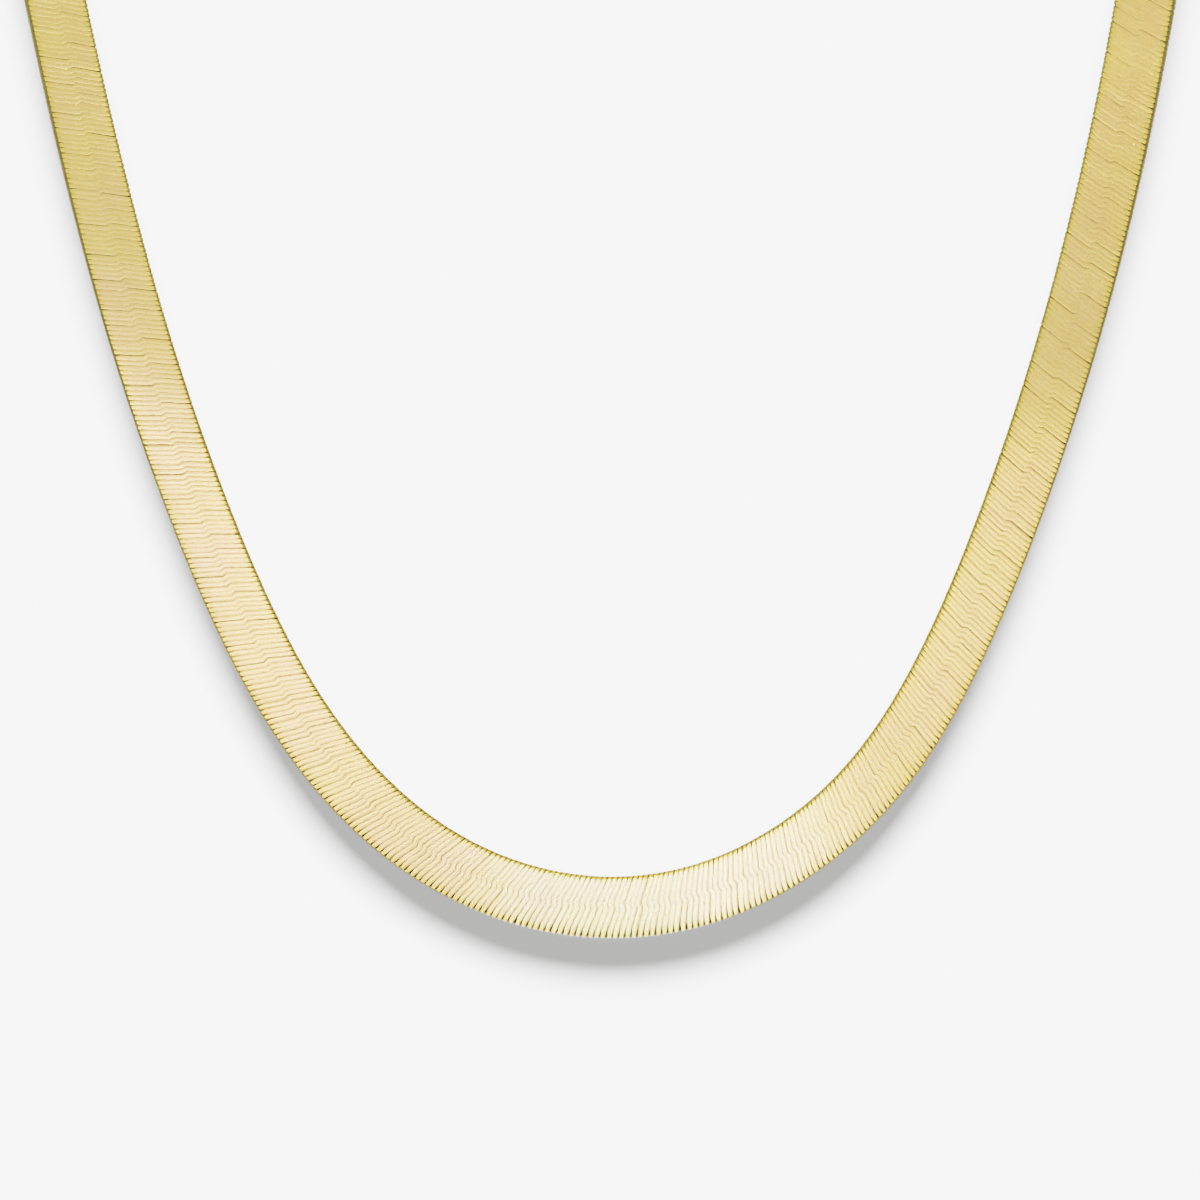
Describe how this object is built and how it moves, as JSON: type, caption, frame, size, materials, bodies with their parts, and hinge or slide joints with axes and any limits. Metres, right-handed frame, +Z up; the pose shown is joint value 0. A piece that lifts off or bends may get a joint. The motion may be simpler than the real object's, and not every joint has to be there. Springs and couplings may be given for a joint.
{
  "type": "flat snake chain necklace",
  "caption": "Hanging necklace of flat woven herringbone band, closed at the top by sleeves, jump rings and a plain clasp.",
  "frame": {"origin": "top of the loop, on its inner side under the clasp, where the necklace is carried", "axes": "+Z up, the loop in the XZ plane with its front towards -Y and the wearer's left arm of the chain at +X"},
  "size_m": [0.1038, 0.0042, 0.1823],
  "materials": {
    "band_gold": "gold-plated woven links, rolled flat and polished to a soft sheen",
    "fitting_gold": "gold-plated and polished"
  },
  "bodies": {
    "root": {"woven_band": "band_gold", "end_cap_left": "fitting_gold", "end_cap_right": "fitting_gold", "jump_ring_left": "fitting_gold", "jump_ring_right": "fitting_gold", "clasp": "fitting_gold"}
  },
  "joints": []
}
